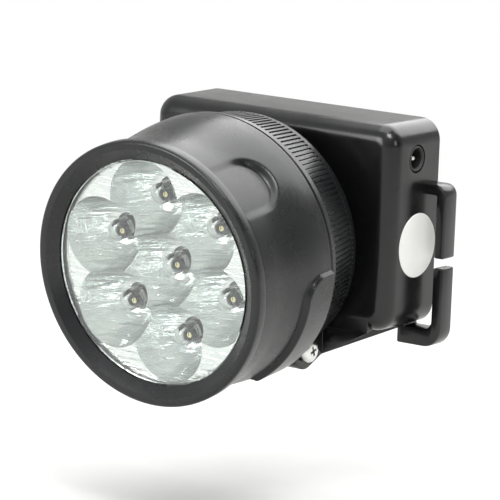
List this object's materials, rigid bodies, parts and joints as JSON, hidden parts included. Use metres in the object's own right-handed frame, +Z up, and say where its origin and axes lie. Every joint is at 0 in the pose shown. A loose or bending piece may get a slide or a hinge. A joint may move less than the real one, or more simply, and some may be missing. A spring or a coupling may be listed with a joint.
{
  "type": "miner's cap lamp",
  "caption": "Round black cap lamp with a clear lens over a cluster of mirror cups, tilting on a screw hinge under a rounded battery box with strap lugs, button and charging socket.",
  "frame": {"origin": "middle of the flat rear face of the seat pad, where the lamp lies against the helmet", "axes": "+Y out of the seat towards the helmet, so the lamp shines along -Y; +Z up; +X on the right of a person facing the lamp"},
  "size_m": [0.0794, 0.0719, 0.0647],
  "materials": {
    "black_plastic": "moulded ABS, semi-gloss black",
    "bezel_plastic": "moulded ABS, semi-gloss black",
    "soft_black": "matt black rubber",
    "pad_foam": "closed-cell foam, matt black",
    "mirror": "vacuum-metallised mirror",
    "clear_lens": "clear, polished",
    "led_epoxy": "water-clear cast epoxy",
    "bright_steel": "nickel-plated, bright",
    "board_green": "solder-masked laminate",
    "board_white": "white solder-masked laminate",
    "nylon": "natural nylon",
    "cell_sleeve": "shrink-sleeved metal can",
    "lead_red": "red PVC insulation",
    "lead_black": "black PVC insulation",
    "label_white": "bare white vinyl"
  },
  "bodies": {
    "base": {"base_housing": "black_plastic", "rear_cover": "black_plastic", "cover_gasket": "soft_black", "hinge_screw": "bright_steel", "hinge_nut": "bright_steel", "hinge_washer_right": "nylon", "hinge_washer_left": "nylon", "cell_tab_right": "bright_steel", "cell_tab_left": "bright_steel", "charge_board": "board_green", "dc_socket": "soft_black", "dc_pin": "bright_steel", "switch_body": "soft_black", "base_lead": "lead_black", "cell_lead": "lead_red", "switch_lead": "lead_red", "seat_pad": "pad_foam", "round_label": "label_white", "cover_screw_1": "bright_steel", "cover_screw_2": "bright_steel", "cover_screw_3": "bright_steel", "cover_screw_4": "bright_steel", "battery_cell_1": "cell_sleeve", "battery_cell_2": "cell_sleeve", "battery_cell_3": "cell_sleeve"},
    "head": {"bezel_ring": "bezel_plastic", "lens": "clear_lens", "lens_gasket": "soft_black", "reflector": "mirror", "led_1": "led_epoxy", "led_2": "led_epoxy", "led_3": "led_epoxy", "led_4": "led_epoxy", "led_5": "led_epoxy", "led_6": "led_epoxy", "led_7": "led_epoxy", "led_board": "board_white", "ballast_resistor": "nylon", "head_lead": "lead_black", "head_shell": "black_plastic", "head_rear_cap": "black_plastic"},
    "button": {"button_cap": "soft_black"}
  },
  "joints": [
    {"name": "head_tilt", "type": "hinge", "parent": "base", "child": "head", "pos_m": [0, -0.029, -0.029], "axis": [1, 0, 0], "range_deg": [-7, 73]},
    {"name": "button_press", "type": "slide", "parent": "base", "child": "button", "axis": [1, 0, 0], "range_m": [0, 0.0015], "stiffness_N_per_m": 600, "springref_m": -0.0008}
  ]
}
